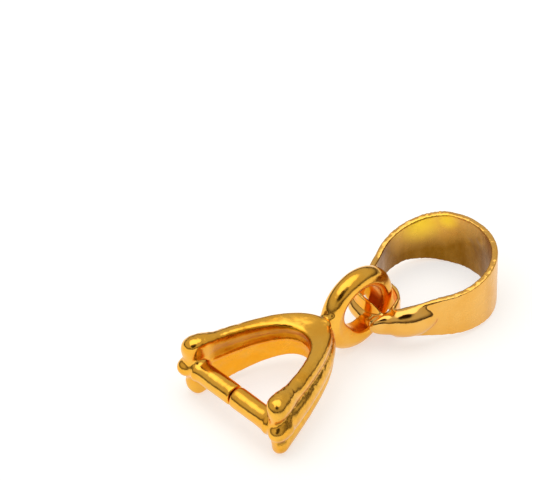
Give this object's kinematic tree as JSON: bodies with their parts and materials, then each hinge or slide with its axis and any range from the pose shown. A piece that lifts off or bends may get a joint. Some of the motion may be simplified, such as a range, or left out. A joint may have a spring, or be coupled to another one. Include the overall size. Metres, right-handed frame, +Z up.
{
  "type": "pinch bail finding",
  "caption": "Pinch bail finding: a fluted clip with facing pins, whose cast ring holds the closed eye of a flat teardrop bail loop that swings on it.",
  "frame": {"origin": "under the middle of the whole finding as it lies on a table", "axes": "+X runs from the clip to the bail loop, +Z is up from the table, and the pins lie along Y"},
  "size_m": [0.0212, 0.0092, 0.0057],
  "materials": {
    "cast_gold": "polished gold plating over a brass casting",
    "strip_gold": "satin gold plating over bent and soldered brass strip"
  },
  "bodies": {
    "clip": {"pinch_clip": "cast_gold"},
    "bail": {"bail_loop": "strip_gold"}
  },
  "joints": [
    {"name": "bail_swing", "type": "hinge", "parent": "clip", "child": "bail", "pos_m": [0.0028, 0, 0.002], "axis": [0, 0, 1], "range_deg": [-30, 55]}
  ]
}
